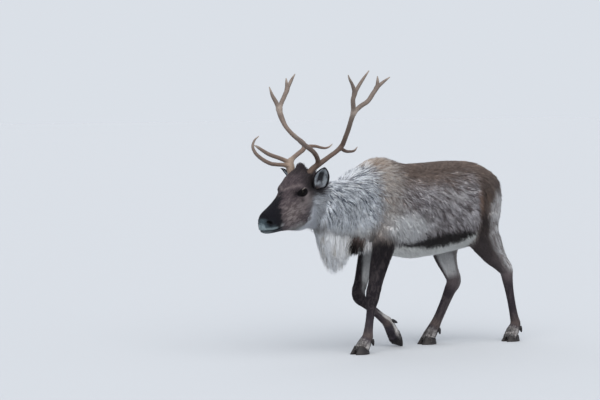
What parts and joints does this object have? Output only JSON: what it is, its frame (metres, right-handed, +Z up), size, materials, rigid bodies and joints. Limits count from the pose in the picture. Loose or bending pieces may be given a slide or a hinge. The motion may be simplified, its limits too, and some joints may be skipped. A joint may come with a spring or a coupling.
{
  "type": "reindeer",
  "caption": "Life-size still model of a walking reindeer in winter coat, with antlers, pale mane and beard, brown body, dark legs and split hooves.",
  "frame": {"origin": "centre of the bounding box, on the floor under the hooves", "axes": "-X is the way the animal faces, its left side faces -Y, +Z is up"},
  "size_m": [1.8828, 0.6778, 1.536],
  "materials": {
    "coat_body": "dense winter hair, warm brown over pale underwool",
    "coat_mane": "long pale grey hair with slate streaks",
    "coat_beard": "long hanging cream-white hair",
    "coat_face": "short dark hair",
    "coat_legs": "short close hair, dark brown",
    "antler": "dry bone, brown stained, paler at the tips",
    "hoof": "dark horn",
    "eye": "wet, glossy"
  },
  "bodies": {
    "root": {"trunk": "coat_body", "neck": "coat_mane", "beard": "coat_beard", "tail": "coat_body", "head": "coat_face", "eye_left": "eye", "ear_left": "coat_face", "eye_right": "eye", "ear_right": "coat_face", "antler_left_beam": "antler", "antler_left_bez_tine": "antler", "antler_left_back_tine": "antler", "antler_left_crown_front": "antler", "antler_left_crown_rear": "antler", "antler_right_beam": "antler", "antler_right_brow_tine": "antler", "antler_right_bez_tine": "antler", "antler_right_back_tine": "antler", "antler_right_crown_front": "antler", "antler_right_crown_rear": "antler", "foreleg_left_upper": "coat_legs", "foreleg_left_lower": "coat_legs", "foreleg_left_claw_left": "hoof", "foreleg_left_claw_right": "hoof", "foreleg_left_dewclaw_left": "hoof", "foreleg_left_dewclaw_right": "hoof", "foreleg_right_upper": "coat_legs", "foreleg_right_lower": "coat_legs", "foreleg_right_claw_left": "hoof", "foreleg_right_claw_right": "hoof", "foreleg_right_dewclaw_left": "hoof", "foreleg_right_dewclaw_right": "hoof", "hindleg_left_upper": "coat_legs", "hindleg_left_lower": "coat_legs", "hindleg_left_claw_left": "hoof", "hindleg_left_claw_right": "hoof", "hindleg_left_dewclaw_left": "hoof", "hindleg_left_dewclaw_right": "hoof", "hindleg_right_upper": "coat_legs", "hindleg_right_lower": "coat_legs", "hindleg_right_claw_left": "hoof", "hindleg_right_claw_right": "hoof", "hindleg_right_dewclaw_left": "hoof", "hindleg_right_dewclaw_right": "hoof"}
  },
  "joints": []
}
